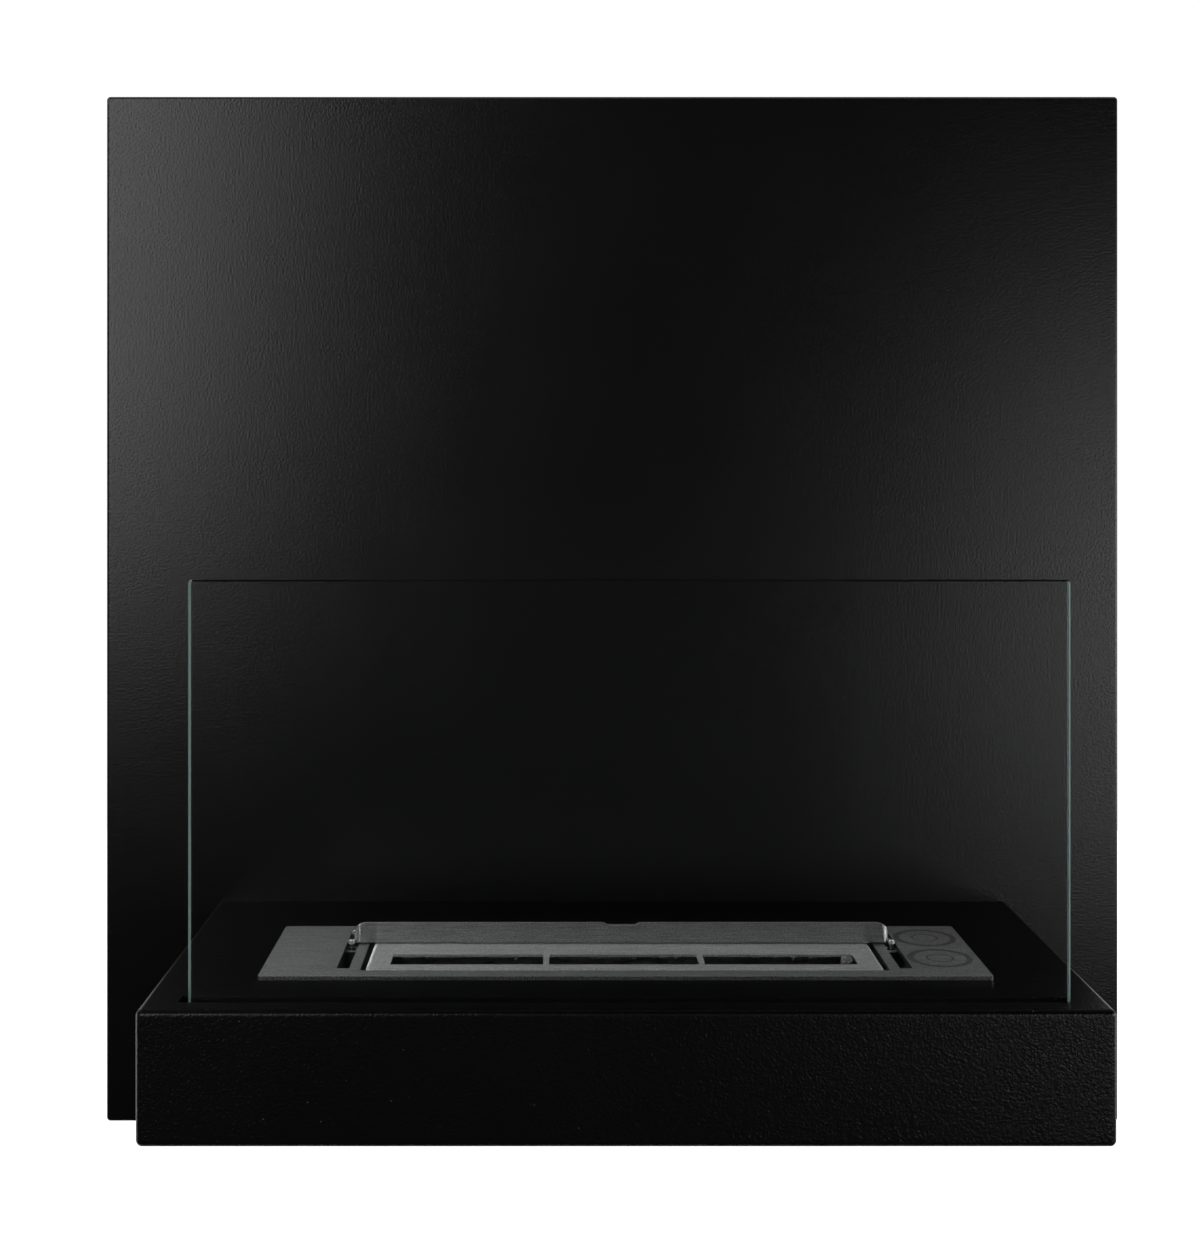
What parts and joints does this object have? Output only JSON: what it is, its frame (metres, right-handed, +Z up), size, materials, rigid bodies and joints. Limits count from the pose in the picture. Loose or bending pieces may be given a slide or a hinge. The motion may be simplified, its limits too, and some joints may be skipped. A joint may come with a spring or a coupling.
{
  "type": "wall-hung fireplace with glass screen",
  "caption": "Black wall panel with a shallow hearth box, a clear glass flame screen standing in a slot, and a stainless ethanol burner whose sliding damper covers the flame opening.",
  "frame": {"origin": "middle of the wall rail's back face, on the wall plane", "axes": "+X to the right seen from the room, +Y into the wall, +Z up"},
  "size_m": [0.6, 0.2267, 0.608],
  "materials": {
    "black_powder_coat": "fine-textured matt black powder coat",
    "brushed_stainless": "stainless steel, brushed along its length",
    "zinc_steel": "bright zinc plating",
    "clear_glass": "clear toughened glass with arrised greenish edges",
    "black_silicone": "matt black silicone",
    "ceramic_wool": "matt ceramic fibre, slightly charred"
  },
  "bodies": {
    "wall_unit": {"wall_rail": "zinc_steel", "panel_hanger": "zinc_steel", "back_panel": "black_powder_coat", "hearth_shell": "black_powder_coat", "bottom_cover": "black_powder_coat", "shelf_bracket_left": "zinc_steel", "shelf_bracket_right": "zinc_steel", "shelf_bolt_1": "zinc_steel", "shelf_bolt_2": "zinc_steel", "shelf_bolt_3": "zinc_steel", "shelf_bolt_4": "zinc_steel", "shelf_washer_1": "zinc_steel", "shelf_washer_2": "zinc_steel", "shelf_washer_3": "zinc_steel", "shelf_washer_4": "zinc_steel", "shelf_nut_1": "zinc_steel", "shelf_nut_2": "zinc_steel", "shelf_nut_3": "zinc_steel", "shelf_nut_4": "zinc_steel", "cover_screw_1": "zinc_steel", "cover_screw_2": "zinc_steel", "cover_screw_3": "zinc_steel", "cover_screw_4": "zinc_steel", "cover_screw_5": "zinc_steel", "cover_screw_6": "zinc_steel", "glass_channel": "black_powder_coat", "glass_liner_front": "black_silicone", "glass_liner_back": "black_silicone", "glass_pad_1": "black_silicone", "glass_pad_2": "black_silicone", "glass_pad_3": "black_silicone"},
    "glass": {"glass_pane": "clear_glass"},
    "burner": {"burner_top_plate": "brushed_stainless", "flame_slot_cover": "brushed_stainless", "fuel_tank": "brushed_stainless", "ceramic_wool_block": "ceramic_wool", "overflow_tray": "brushed_stainless"},
    "damper": {"damper_slide": "brushed_stainless", "damper_pin_1": "brushed_stainless", "damper_pin_2": "brushed_stainless", "damper_pin_3": "brushed_stainless", "damper_pin_4": "brushed_stainless", "damper_clip_1": "zinc_steel", "damper_clip_2": "zinc_steel", "damper_clip_3": "zinc_steel", "damper_clip_4": "zinc_steel"}
  },
  "joints": [
    {"name": "glass_lift", "type": "slide", "parent": "wall_unit", "child": "glass", "axis": [0, 0, 1], "range_m": [0, 0.04]},
    {"name": "burner_lift", "type": "slide", "parent": "wall_unit", "child": "burner", "axis": [0, 0, 1], "range_m": [0, 0.07]},
    {"name": "damper_travel", "type": "slide", "parent": "burner", "child": "damper", "axis": [0, -1, 0], "range_m": [0, 0.04]}
  ]
}
